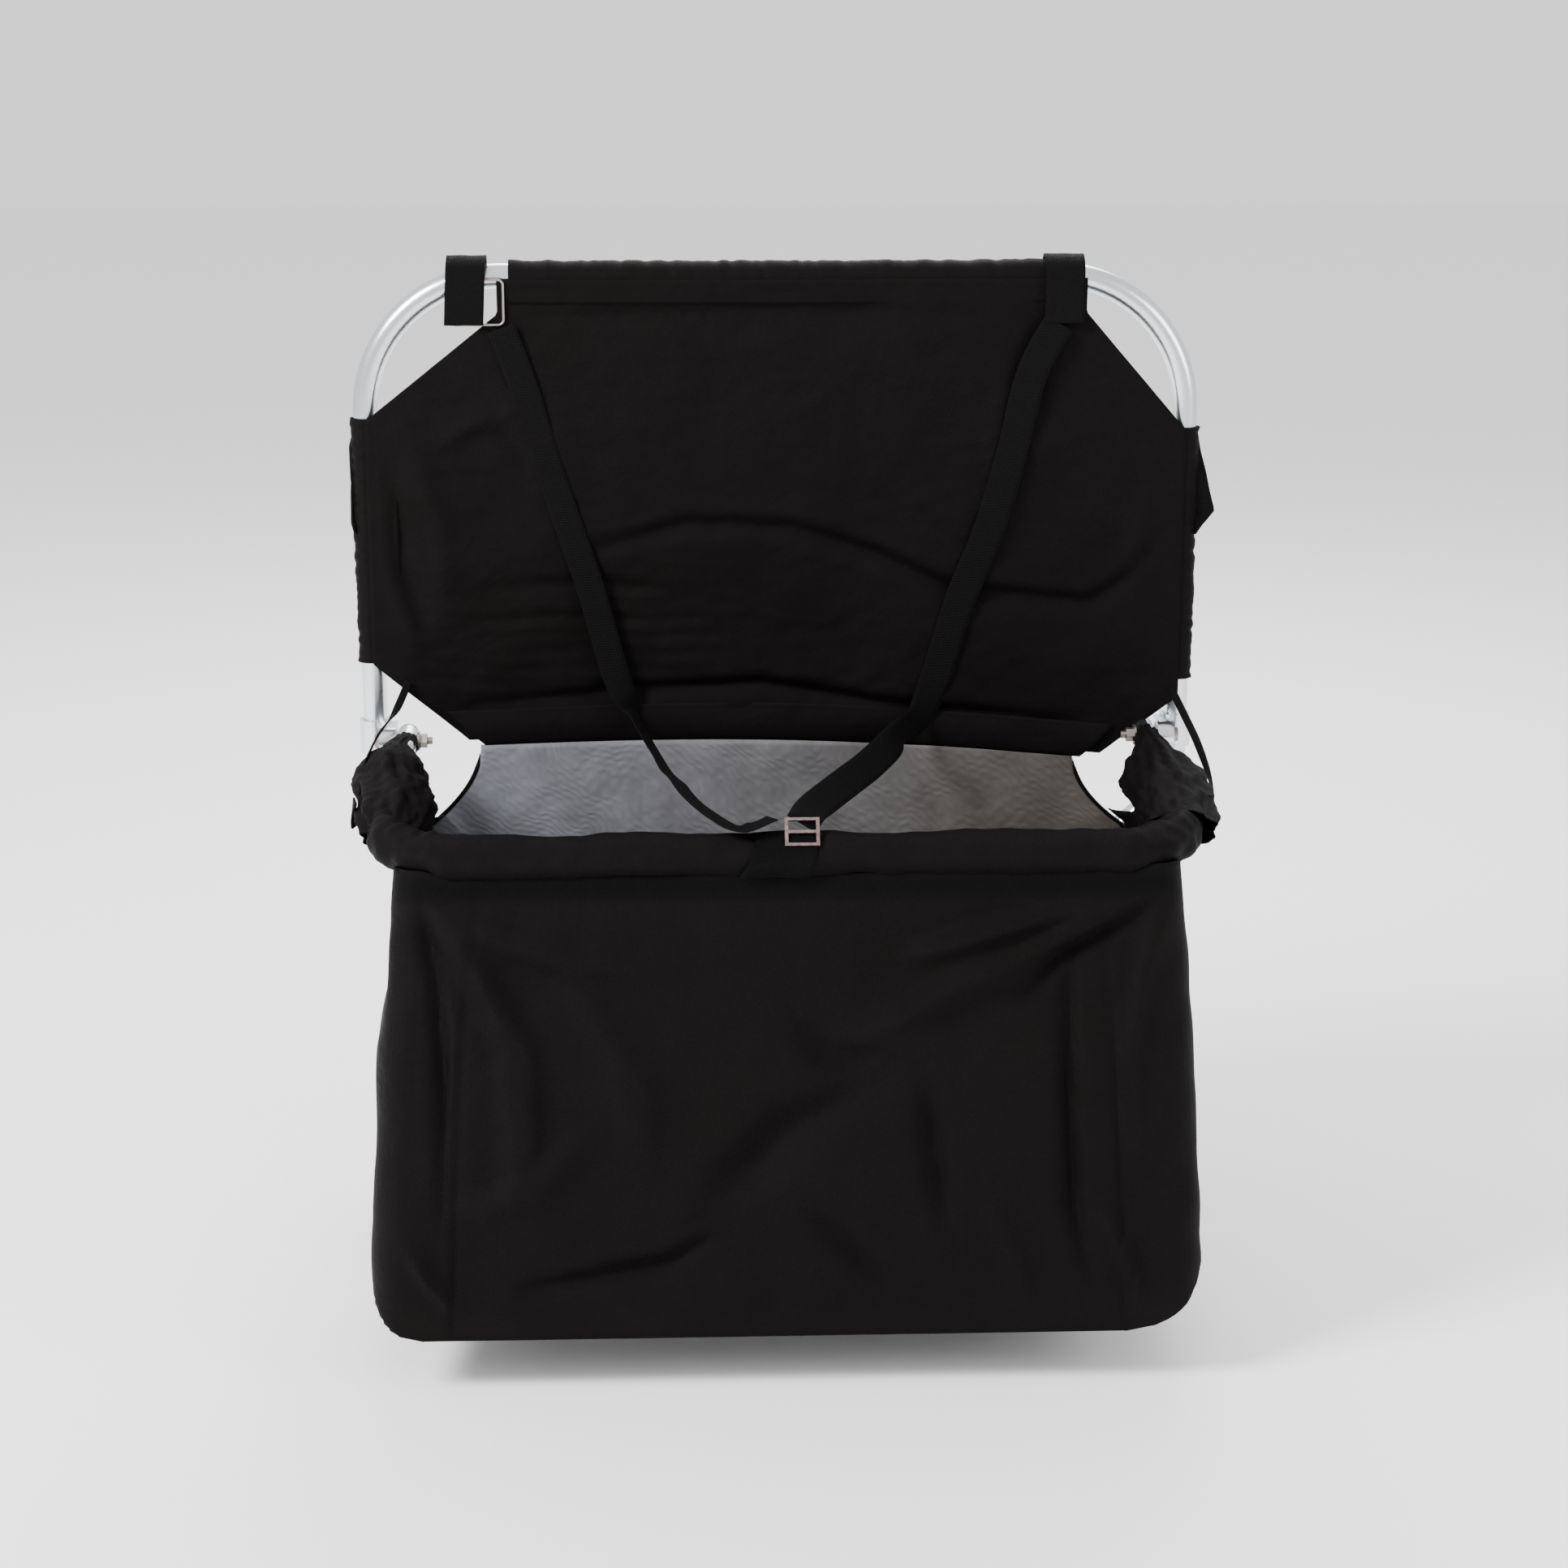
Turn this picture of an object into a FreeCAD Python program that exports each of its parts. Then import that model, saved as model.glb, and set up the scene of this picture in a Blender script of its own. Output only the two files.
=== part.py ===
import FreeCAD, Part
import math, os

V = FreeCAD.Vector
os.makedirs("parts", exist_ok=True)

# Driving dimensions, mm. X right, front towards -Y, Z up from the ground.
hinge_z = 446.0          # height of the mouth hoop's pivots
top_rise = 360.0         # pivots up to the centre of the top bar
side_x = 318.0           # centre of each side tube, above the joggle
leg_x = 262.0            # centre of each leg, below the joggle
frame_r = 9.5            # outside radius of the frame tube
tube_wall = 1.3
top_bend = 105.0
joggle_drop = (48.0, 95.0)   # below the pivots: where the side tube turns in, and straight again
joggle_bend = 60.0
leg_joint_z = 130.0      # the hoop's legs slip over the base loop here

pivot_y = -22.0          # pivot axis in front of the frame's plane
mouth_x = 292.0          # centre of each mouth arm
mouth_r = 8.0
mouth_reach = 230.0      # pivot to the centre of the front bar
mouth_droop = 7.5        # degrees below level when open
mouth_bend = 55.0
arm_tail = 14.0
bolt_r = 3.0

cloth = 1.5
roll_r = 18.0            # gathered roll round the front bar
arm_cover = (29.0, 20.0)  # half width and half height of the covers on the arms

bag_top_x = 280.0        # half widths of the bag's front wall
bag_low_x = 309.0
bag_drop = 400.0         # pivots down to the front bottom edge
bag_corner = 39.0
notch = 62.0             # open corner between back wall and arm, below the pivots

panel_top_x = 228.0
panel_low_x = 236.0
panel_side = (54.0, 245.0)   # the part of the side tubes in the panel's sleeves, above the pivots
panel_hang = 14.0        # lower edge of the panel below the pivots
hem = 28.0

wheel_r = 70.0
wheel_w = 28.0
wheel_x = 294.0
axle_r = 5.0
axle_back = 80.0
base_z = 22.0
base_reach = 126.0
foot_r = 12.0
foot_x = 190.0

web = 25.0               # V strap width
web_t = 1.4
run = 0.05               # running clearance on radius
gap = 0.4                # air between pieces on different bodies
floor_gap = 6.0          # the floor turns up flat in front of the back wall
seam_x = 236.0           # upright seams between the front wall and the gussets

# Derived
droop = math.radians(mouth_droop)
bar_y = pivot_y - mouth_reach * math.cos(droop)
bar_z = hinge_z - mouth_reach * math.sin(droop)
top_z = hinge_z + top_rise
back_y = -frame_r - 0.2 - cloth          # front face of the panel
wall_y = bar_y - 10.0                    # inner face of the bag's front wall
tab_t = 1.6
row_y = (-bar_y + roll_r + tab_t - axle_back - wheel_r) / 2
flare = math.atan((bag_low_x - bag_top_x) / (bag_drop - 45.0))


def save(shape, name):
    out = shape.removeSplitter() if len(shape.Solids) == 1 else shape
    if len(out.Solids) != 1 or not out.isValid():
        print("CHECK", name, len(out.Solids), out.isValid())
    out = out.Solids[0].copy() if len(out.Solids) == 1 else out.copy()
    out.translate(V(0, row_y, 0))
    out.exportStep("parts/" + name + ".step")


def mirror(shape):
    return shape.mirror(V(0, 0, 0), V(1, 0, 0))


def pair(shape, name):
    """The shape is drawn on the right (+X) and mirrored for the left."""
    save(shape, name + "_right")
    save(mirror(shape), name + "_left")


def path(points, radius):
    """A run of straights joined by bends of one radius."""
    edges, start = [], points[0]
    for i in range(1, len(points) - 1):
        a, b, c = points[i - 1], points[i], points[i + 1]
        u = (a - b).normalize()
        w = (c - b).normalize()
        half = u.getAngle(w) / 2
        t = radius / math.tan(half)
        p, q = b + u * t, b + w * t
        mid_dir = (u + w).normalize()
        m = b + mid_dir * (radius / math.sin(half) - radius)
        if (p - start).Length > 1e-6:
            edges.append(Part.makeLine(start, p))
        edges.append(Part.Arc(p, m, q).toShape())
        start = q
    if (points[-1] - start).Length > 1e-6:
        edges.append(Part.makeLine(start, points[-1]))
    return Part.Wire(edges)


def rod(wire, r):
    e = wire.OrderedEdges[0] if hasattr(wire, "OrderedEdges") else wire.Edges[0]
    p, d = e.valueAt(e.FirstParameter), e.tangentAt(e.FirstParameter)
    ring = Part.Wire([Part.makeCircle(r, p, d)])
    return wire.makePipeShell([ring], True, False)


def tube(wire, r, wall):
    return rod(wire, r).cut(rod(wire, r - wall))


def cyl_x(x0, x1, y, z, r):
    return Part.makeCylinder(r, x1 - x0, V(x0, y, z), V(1, 0, 0))


def cyl_z(x, y, z0, z1, r):
    return Part.makeCylinder(r, z1 - z0, V(x, y, z0), V(0, 0, 1))


def box(x0, x1, y0, y1, z0, z1):
    return Part.makeBox(x1 - x0, y1 - y0, z1 - z0, V(x0, y0, z0))


def plate_xz(points, y0, y1):
    """A flat sheet standing in the XZ plane from an outline of (x, z) points."""
    w = Part.makePolygon([V(x, y0, z) for x, z in points + points[:1]])
    return Part.Face(w).extrude(V(0, y1 - y0, 0))


def prism_yz(points, x0, x1):
    w = Part.makePolygon([V(x0, y, z) for y, z in points + points[:1]])
    return Part.Face(w).extrude(V(x1 - x0, 0, 0))


def smooth(stations, steps=3):
    """Stations of (centre, direction across) with evenly eased ones put between them."""
    pts = [c for c, w in stations]
    at = [0.0]
    for a, b in zip(pts, pts[1:]):
        at.append(at[-1] + (b - a).Length)
    curve = Part.BSplineCurve()
    curve.interpolate(Points=pts, Parameters=at)
    out = []
    for i in range(len(pts) - 1):
        for k in range(steps):
            f = k / steps
            w = stations[i][1] * (1 - f) + stations[i + 1][1] * f
            out.append((curve.value(at[i] + f * (at[i + 1] - at[i])), w))
    return out + [stations[-1]]


def band(stations, width, thick):
    """A flat strap through stations of (centre, direction across the width)."""
    wires = []
    stations = smooth(stations)
    n = len(stations)
    for i, (c, w) in enumerate(stations):
        a, b = stations[max(i - 1, 0)][0], stations[min(i + 1, n - 1)][0]
        t = (b - a).normalize()
        w = (w - t * w.dot(t)).normalize()
        k = t.cross(w).normalize()
        h, q = w * (width / 2), k * (thick / 2)
        corners = [c + h + q, c - h + q, c - h - q, c + h - q]
        wires.append(Part.makePolygon(corners + corners[:1]))
    return Part.makeLoft(wires, True, True)


def mouth_point(x, u, lift=0.0):
    """A point u in front of the pivots along the open mouth, raised square to it."""
    return V(x, pivot_y - u * math.cos(droop) - lift * math.sin(droop),
             hinge_z - u * math.sin(droop) + lift * math.cos(droop))


# ---- frame ----
def hoop_path():
    turn_in, turn_down = joggle_drop
    right = [V(leg_x, 0, leg_joint_z), V(leg_x, 0, hinge_z - turn_down), V(side_x, 0, hinge_z - turn_in)]
    low = path(right + [V(side_x, 0, hinge_z + 100)], joggle_bend)
    top = path([V(side_x, 0, hinge_z + 100), V(side_x, 0, top_z), V(-side_x, 0, top_z),
                V(-side_x, 0, hinge_z + 100)], top_bend)
    other = mirror(low)
    edges = Part.sortEdges(low.Edges + top.Edges + other.Edges)[0]
    return Part.Wire(edges)


def base_path():
    up = leg_joint_z
    pts = [V(leg_x, 0, up), V(leg_x, 0, base_z), V(leg_x, -base_reach, base_z),
           V(-leg_x, -base_reach, base_z), V(-leg_x, 0, base_z), V(-leg_x, 0, up)]
    return path(pts, 40.0)


def frame_hoop():
    return tube(hoop_path(), frame_r, tube_wall)


def base_loop():
    """Bent base tube with a thinner spigot at each end that plugs into a leg."""
    spigot_r = frame_r - tube_wall - 0.05
    loop = tube(base_path(), frame_r, tube_wall)
    for x in (leg_x, -leg_x):
        plug = cyl_z(x, 0, leg_joint_z - 15, leg_joint_z + 30, spigot_r)
        plug = plug.fuse(cyl_z(x, 0, leg_joint_z - 15, leg_joint_z, frame_r - tube_wall / 2))
        plug = plug.cut(cyl_z(x, 0, leg_joint_z - 15, leg_joint_z + 30, spigot_r - 1.5))
        loop = loop.fuse(plug)
    return loop


def cross_rail(z):
    rail = cyl_x(-leg_x, leg_x, 0, z, mouth_r).cut(cyl_x(-leg_x, leg_x, 0, z, mouth_r - tube_wall))
    for x in (leg_x, -leg_x):
        rail = rail.cut(cyl_z(x, 0, z - 20, z + 20, frame_r))
    return rail


def foot():
    """Rubber foot, saddled to the base tube."""
    f = cyl_z(foot_x, -base_reach, 0, base_z, foot_r)
    return f.cut(cyl_x(foot_x - 20, foot_x + 20, -base_reach, base_z, frame_r))


def axle_bracket():
    t, z = 4.0, wheel_r
    ears = cyl_x(leg_x - t / 2, leg_x + t / 2, axle_back, z, 14)
    plate = prism_yz([(2, z + 24), (2, z - 10), (axle_back, z - 14), (axle_back, z + 14)],
                     leg_x - t / 2, leg_x + t / 2)
    plate = plate.fuse(ears).cut(cyl_x(leg_x - 5, leg_x + 5, axle_back, z, axle_r + run))
    return plate.cut(rod(base_path(), frame_r))


def wheel_parts():
    y, z = axle_back, wheel_r
    x0, x1 = wheel_x - wheel_w / 2, wheel_x + wheel_w / 2
    rim_r, hub_r = wheel_r - 12, 16.0       # a closed disc with one raised ring
    tyre = cyl_x(x0, x1, y, z, wheel_r)
    tyre = tyre.makeFillet(6, [e for e in tyre.Edges if e.BoundBox.XLength < 0.01])
    tyre = tyre.cut(cyl_x(x0, x1, y, z, rim_r))
    rim = cyl_x(x0 + 2, x1 - 2, y, z, rim_r).cut(cyl_x(x0, x1, y, z, rim_r - 5))
    disc = cyl_x(wheel_x - 4, wheel_x + 4, y, z, rim_r - 4)
    ring = cyl_x(wheel_x - 7, wheel_x + 7, y, z, 40).cut(cyl_x(wheel_x - 8, wheel_x + 8, y, z, 36))
    disc = disc.fuse(ring)
    hub = cyl_x(x0 - 3, x1 + 3, y, z, hub_r)
    rim = rim.fuse(disc).fuse(hub).cut(cyl_x(x0 - 4, x1 + 4, y, z, axle_r + 3))
    bush = cyl_x(x0 - 3, x1 + 3, y, z, axle_r + 3).cut(cyl_x(x0 - 4, x1 + 4, y, z, axle_r + run))
    return tyre, rim, bush


def axle():
    end = wheel_x + wheel_w / 2 + 8
    return cyl_x(-end, end, axle_back, wheel_r, axle_r)


def axle_spacer():
    x0, x1 = leg_x + 2, wheel_x - wheel_w / 2 - 3 - gap
    s = cyl_x(x0, x1, axle_back, wheel_r, 8)
    return s.cut(cyl_x(x0 - 1, x1 + 1, axle_back, wheel_r, axle_r + 0.02))


def axle_cap():
    """Domed push-on cap that keeps the wheel on."""
    x0 = wheel_x + wheel_w / 2 + 3 + gap
    c = cyl_x(x0, x0 + 7, axle_back, wheel_r, 9)
    c = c.makeFillet(3, [e for e in c.Edges if abs(e.BoundBox.XMin - x0 - 7) < 0.01 and e.BoundBox.XLength < 0.01])
    return c.cut(cyl_x(x0 - 1, wheel_x + wheel_w / 2 + 8, axle_back, wheel_r, axle_r))


def pivot_clamp():
    """Moulded clamp on the side tube with an ear that carries the pivot bolt."""
    x_in = mouth_x + mouth_r + gap
    body = cyl_z(side_x, 0, hinge_z - 13, hinge_z + 13, 12.5)
    ear = box(x_in, side_x - 5, pivot_y, 0, hinge_z - 11, hinge_z + 11)
    nose = cyl_x(x_in, side_x - 5, pivot_y, hinge_z, 11)
    c = body.fuse(ear).fuse(nose).cut(cyl_z(side_x, 0, hinge_z - 14, hinge_z + 14, frame_r))
    return c.cut(cyl_x(x_in - 1, side_x, pivot_y, hinge_z, bolt_r + 0.02))


def pivot_bolt():
    head = cyl_x(side_x - 5, side_x - 1, pivot_y, hinge_z, 5.5)
    shank = cyl_x(mouth_x - 20, side_x - 5, pivot_y, hinge_z, bolt_r)
    return head.fuse(shank)


def pivot_washer():
    x1 = mouth_x - mouth_r - gap
    w = cyl_x(x1 - 1.6, x1, pivot_y, hinge_z, 8)
    return w.cut(cyl_x(x1 - 3, x1 + 1, pivot_y, hinge_z, bolt_r + 0.02))


def pivot_nut():
    x1 = mouth_x - mouth_r - gap - 1.6
    pts = [(pivot_y + 5.8 * math.cos(math.radians(60 * k)), hinge_z + 5.8 * math.sin(math.radians(60 * k)))
           for k in range(6)]
    return prism_yz(pts, x1 - 6, x1).cut(cyl_x(x1 - 8, x1 + 1, pivot_y, hinge_z, bolt_r + 0.02))


# ---- mouth hoop ----
def mouth_path(u0):
    pts = [mouth_point(mouth_x, u0), mouth_point(mouth_x, mouth_reach),
           mouth_point(-mouth_x, mouth_reach), mouth_point(-mouth_x, u0)]
    return path(pts, mouth_bend)


def mouth_hoop():
    h = tube(mouth_path(-arm_tail), mouth_r, tube_wall)
    return h.cut(cyl_x(-mouth_x - 20, mouth_x + 20, pivot_y, hinge_z, bolt_r + run))


def arm_plug():
    a, b = mouth_point(mouth_x, -arm_tail), mouth_point(mouth_x, -arm_tail + 1)
    d = (a - b).normalize()
    cap = Part.makeCylinder(mouth_r, 2, a, d)
    peg = Part.makeCylinder(mouth_r - tube_wall - 0.05, 6, a - d * 6, d)
    return cap.fuse(peg)


def front_roll():
    """Thick gathered sleeve round the front bar and both corners."""
    start = mouth_reach - mouth_bend
    p = mouth_path(start)
    return rod(p, roll_r).cut(rod(mouth_path(start - 5), mouth_r + 0.02))


def arm_cover_sleeve():
    """Loose gathered cover on an arm, wider on its inner side."""
    hw, hh = arm_cover
    stations = []
    for u, k in ((18.0, 0.62), (60.0, 0.9), (120.0, 1.0), (mouth_reach - mouth_bend - gap, 0.98)):
        c = mouth_point(mouth_x - 6 * k, u)
        d = (mouth_point(mouth_x, u + 1) - mouth_point(mouth_x, u)).normalize()
        e = Part.Ellipse(c + V(hw * k, 0, 0), c + d.cross(V(1, 0, 0)) * (hh * k), c)
        stations.append(Part.Wire([e.toShape()]))
    sleeve = Part.makeLoft(stations, True, False)
    core = rod(Part.Wire([Part.makeLine(mouth_point(mouth_x, 0), mouth_point(mouth_x, mouth_reach - mouth_bend))]),
               mouth_r + 0.02)
    return sleeve.cut(core)


def anchor_tab():
    """Patch sewn round the roll's middle that holds the slider."""
    outer = cyl_x(-38, 23, bar_y, bar_z, roll_r + tab_t).cut(cyl_x(-39, 24, bar_y, bar_z, roll_r))
    keep = box(-40, 40, bar_y - 40, bar_y + 4, bar_z - 0.75 * roll_r, bar_z + 40)
    return outer.common(keep)


def slider():
    """Three-bar metal slider, tangent to the tab on the roll's upper front and pulled up by the strap."""
    x, y = 9.0, bar_y - roll_r - tab_t
    s = box(x - 12.5, x + 12.5, y - 2, y, bar_z - 2, bar_z + 20)
    for z in (bar_z + 0.2, bar_z + 10.2):
        s = s.cut(box(x - 10, x + 10, y - 4, y + 2, z, z + 7.6))
    s.rotate(V(0, bar_y, bar_z), V(1, 0, 0), -40)
    return s


def check_anchor():
    """Small stitched tab on the outside of the arm cover."""
    c = mouth_point(mouth_x + arm_cover[0] - 6 + 1.1, 138)
    return box(c.x - 0.8, c.x + 1.2, c.y - 9, c.y + 9, c.z - 16, c.z + 6)


# ---- back panel ----
def panel_outline():
    lo, hi = hinge_z + panel_side[0], hinge_z + panel_side[1]
    right = [(panel_low_x, hinge_z - panel_hang), (side_x, lo), (side_x, hi),
             (panel_top_x, top_z - 30), (panel_top_x, top_z)]
    return right + [(-x, z) for x, z in reversed(right)]


def back_panel():
    """Cloth sling: one sheet in front of the tubes with a sleeve on each side and on top."""
    lo, hi = hinge_z + panel_side[0], hinge_z + panel_side[1]
    inner, outer = frame_r + 0.05, frame_r + 0.2 + cloth
    sheet = plate_xz(panel_outline(), back_y, back_y + cloth)
    for x in (side_x, -side_x):
        sheet = sheet.fuse(cyl_z(x, 0, lo, hi, outer))
    sheet = sheet.fuse(cyl_x(-panel_top_x, panel_top_x, 0, top_z, outer))
    for x in (side_x, -side_x):
        sheet = sheet.cut(cyl_z(x, 0, lo - 20, hi + 5, inner))
    sheet = sheet.cut(rod(path([V(side_x, 0, hinge_z + 100), V(side_x, 0, top_z), V(-side_x, 0, top_z),
                                V(-side_x, 0, hinge_z + 100)], top_bend), inner))
    return sheet


def lower_hem():
    z = hinge_z - panel_hang
    slope = (side_x - panel_low_x) / (panel_side[0] + panel_hang)
    x1 = panel_low_x + hem * slope
    return plate_xz([(panel_low_x, z), (x1, z + hem), (-x1, z + hem), (-panel_low_x, z)],
                    back_y - cloth, back_y)


def web_loop():
    """Webbing looped round the top bar, with a tail down the front."""
    r0, r1 = frame_r + 4.1, frame_r + 4.1 + 1.6
    x0, x1 = panel_top_x - 14, panel_top_x + 16
    ring = cyl_x(x0, x1, 0, top_z, r1).cut(cyl_x(x0 - 1, x1 + 1, 0, top_z, r0))
    tail = box(x0, x1, -r1, -r0, top_z - 32, top_z)
    return ring.fuse(tail).cut(back_panel()).cut(rod(hoop_path(), frame_r + 0.05))


def strap_ring():
    """Wire ring caught under the left webbing loop."""
    x, z, y = -panel_top_x - 1.0, top_z, -frame_r - 2.9
    pts = [V(x, y, z - 36), V(x + 20, y, z - 36), V(x + 20, y, z - 2), V(x - 20, y, z - 2), V(x - 20, y, z - 36),
           V(x, y, z - 36)]
    w = path(pts, 4.0)
    return rod(w, 1.0)


def side_tab(tip, blunt):
    """Folded webbing tab sewn into the side sleeve; its outer edge runs out to a corner at the tip."""
    z = hinge_z
    x = side_x + 4
    p = plate_xz([(x, z + 160), (side_x + 10 + blunt, z + 162), (side_x + tip, z + 179),
                  (side_x + 10 + blunt, z + 232), (x, z + 238)], -1.5, 1.5)
    return p.cut(cyl_z(side_x, 0, z + 140, z + 250, frame_r + 0.2 + cloth))


# ---- bag ----
def back_edge():
    """Right edge of the bag's back wall, top to bottom."""
    z0 = hinge_z - panel_hang
    low = hinge_z - bag_drop + (-wall_y + back_y) * math.tan(droop)
    x_low = bag_low_x - 4
    a, b = V(panel_low_x, 0, z0), V(bag_top_x - 4, 0, hinge_z - notch - 12)
    bow = Part.Arc(a, V((a.x + b.x) / 2 + 4, 0, (a.z + b.z) / 2 - 9), b).toShape()
    c = V(x_low, 0, low + bag_corner)
    line = Part.makeLine(b, c)
    s = math.sin(math.radians(45)) * bag_corner
    arc = Part.Arc(c, V(x_low - bag_corner + s, 0, low + bag_corner - s), V(x_low - bag_corner, 0, low)).toShape()
    return Part.Wire([bow, line, arc]), low, x_low - bag_corner


def bag_back():
    edge, low, x_low = back_edge()
    z0 = hinge_z - panel_hang
    loop = edge.Edges + [Part.makeLine(V(x_low, 0, low), V(-x_low, 0, low))] + mirror(edge).Edges
    loop += [Part.makeLine(V(-panel_low_x, 0, z0), V(panel_low_x, 0, z0))]
    w = Part.Wire(Part.sortEdges(loop)[0])
    f = Part.Face(w)
    f.translate(V(0, back_y - cloth, 0))
    return f.extrude(V(0, cloth, 0))


def back_piping():
    edge, low, x_low = back_edge()
    edge.translate(V(0, back_y - cloth / 2, 0))
    return rod(edge, 1.6).cut(bag_back()).cut(back_panel()).cut(lower_hem())


def front_outline(y):
    low = hinge_z - bag_drop
    top = bar_z - math.sqrt(roll_r ** 2 - (bar_y - wall_y) ** 2) - gap - 0.3
    c = V(bag_low_x, y, low + bag_corner)
    s = math.sin(math.radians(45)) * bag_corner
    arc = Part.Arc(c, V(bag_low_x - bag_corner + s, y, low + bag_corner - s), V(bag_low_x - bag_corner, y, low)).toShape()
    return V(bag_top_x, y, top), c, arc, V(bag_low_x - bag_corner, y, low)


def bag_front():
    """Front wall between its two upright seams."""
    y = wall_y - cloth
    a, c, arc, d = front_outline(y)
    return box(-seam_x, seam_x, y, wall_y, d.z, a.z)


def front_strip():
    """The part of a gusset that turns on to the front, out to the leaning side."""
    y = wall_y - cloth
    a, c, arc, d = front_outline(y)
    e, f = V(seam_x, y, d.z), V(seam_x, y, a.z)
    loop = [Part.makeLine(a, c), arc, Part.makeLine(d, e), Part.makeLine(e, f), Part.makeLine(f, a)]
    return Part.Face(Part.Wire(Part.sortEdges(loop)[0])).extrude(V(0, cloth, 0))


def bag_gusset():
    """Side wall with its rounded lower corner, leaning out towards the ground."""
    a, c, arc, d = front_outline(wall_y)
    a = a + V(0, 0, 25)
    run_back = V(0, back_y - cloth - 1.6 - wall_y, (back_y - cloth - 1.6 - wall_y) * math.tan(droop))
    lean = V(-cloth, 0, 0)
    inner_r = bag_corner - cloth
    s = math.sin(math.radians(45)) * inner_r
    ctr = V(c.x - bag_corner, wall_y, c.z)
    inner_arc = Part.Arc(ctr + V(inner_r, 0, 0), ctr + V(s, 0, -s), ctr + V(0, 0, -inner_r)).toShape()
    loop = [Part.makeLine(a, c), arc, Part.makeLine(d, ctr + V(0, 0, -inner_r)), inner_arc,
            Part.makeLine(ctr + V(inner_r, 0, 0), a + lean), Part.makeLine(a + lean, a)]
    f = Part.Face(Part.Wire(Part.sortEdges(loop)[0]))
    g = f.extrude(run_back)
    low, top = -arm_cover[1] - gap - 1.5, 60.0
    p = [mouth_point(0, mouth_reach + 40, low), mouth_point(0, 110, low), mouth_point(0, 60, low - 12)]
    pts = [(q.y, q.z) for q in p] + [(back_y - 20, hinge_z - notch), (0, hinge_z - notch - 4), (0, hinge_z + top),
                                     (bar_y - 60, hinge_z + top)]
    g = g.cut(prism_yz(pts, bag_top_x - 40, bag_low_x + 20))
    g = g.cut(box(200, 340, wall_y - 30, wall_y, 0, hinge_z))
    a, c, arc, d = front_outline(wall_y)
    return g.fuse(front_strip()).cut(box(200, 340, wall_y - 10, wall_y + 12, a.z, hinge_z))


def bag_base():
    """Floor of the bag: flat cloth, sloping with the open mouth."""
    x = bag_low_x - bag_corner - gap
    y0, y1 = wall_y + gap, back_y - cloth - floor_gap
    z0 = hinge_z - bag_drop + gap * math.tan(droop)
    z1 = z0 + (y1 - y0) * math.tan(droop)
    return prism_yz([(y0, z0), (y1, z1), (y1, z1 + cloth), (y0, z0 + cloth)], -x, x)


def base_board():
    """Stiffener lying on the floor of the bag."""
    x = bag_low_x - bag_corner - 8
    y0, y1 = wall_y + 5, back_y - cloth - floor_gap - 1
    z0 = hinge_z - bag_drop + cloth + 5 * math.tan(droop)
    z1 = z0 + (y1 - y0) * math.tan(droop)
    return prism_yz([(y0, z0), (y1, z1), (y1, z1 + 3), (y0, z0 + 3)], -x, x)


# ---- straps ----
def v_strap_left():
    """Slack strap: down the panel, edge on over the mouth, to the tab."""
    y = back_y - cloth - 1.6
    z = hinge_z
    flat = V(1, 0, 0.3)
    edge_on = V(0.7, 0.2, -0.7)
    pts = [(V(-213, y, z + 322), flat), (V(-190, y, z + 225), flat), (V(-158, y, z + 130), flat),
           (V(-128, y, z + 50), flat), (V(-111, y - 3, z + 16), V(0.9, 0, 0)),
           (V(-90, y - 80, z - 2), edge_on), (V(-79, y - 125, z - 5), edge_on),
           (V(-67, y - 175, z - 6), V(0.8, 0.1, -0.5)), (V(-46, bar_y + 5, bar_z + 24), V(0.9, 0, -0.3)),
           (V(-30, bar_y - 6, bar_z + 25), V(1, 0, 0)), (V(-14, bar_y, bar_z + 30), V(0.8, 0.7, 0))]
    return band(pts, web, web_t)


def v_strap_right():
    """Slack strap: down the panel, one twist at the hem, flat up to the slider."""
    y = back_y - cloth - 1.6
    z = hinge_z
    flat = V(1, 0, -0.3)
    face_on = V(0.7, -0.2, -0.7)
    pts = [(V(213, y, z + 322), flat), (V(196, y, z + 225), flat), (V(176, y, z + 130), flat),
           (V(136, y, z + 50), flat), (V(110, y - 9, z + 17), V(0.6, 0.4, -0.6)),
           (V(82, y - 67, z + 4), face_on), (V(49, y - 147, z + 2), face_on),
           (V(26, bar_y + 25, bar_z + 33), V(0.9, -0.1, -0.3)), (V(14, bar_y + 3, bar_z + 34), V(1, 0, 0))]
    return band(pts, web, web_t)


def check_strap():
    """Thin strap from the panel's lower corner to the arm: it holds the mouth level."""
    z = hinge_z
    tip = mouth_point(mouth_x + arm_cover[0] - 6 + 4.5, 132)
    across = V(0, 0.5, 0.6)
    pts = [(V(304, back_y - 1.5, z + 46), V(1, 0, 0)), (V(310, back_y - 16, z + 22), V(0.8, 0.3, 0.3)),
           (V(316, back_y - 70, z - 2), across), (V(tip.x, tip.y, tip.z), across)]
    return band(pts, 6.0, 1.2)


save(frame_hoop(), "frame_hoop")
save(base_loop(), "base_loop")
save(cross_rail(300.0), "cross_rail_upper")
save(cross_rail(155.0), "cross_rail_lower")
pair(foot(), "foot")
save(axle(), "axle")
pair(axle_bracket(), "axle_bracket")
pair(axle_spacer(), "axle_spacer")
pair(axle_cap(), "axle_cap")
for piece, piece_name in zip(wheel_parts(), ("tyre", "rim", "bush")):
    pair(piece, piece_name)
pair(pivot_clamp(), "pivot_clamp")
pair(pivot_bolt(), "pivot_bolt")
pair(pivot_washer(), "pivot_washer")
pair(pivot_nut(), "pivot_nut")
save(mouth_hoop(), "mouth_hoop")
pair(arm_plug(), "arm_plug")
save(front_roll(), "front_roll")
pair(arm_cover_sleeve(), "arm_cover")
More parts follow.
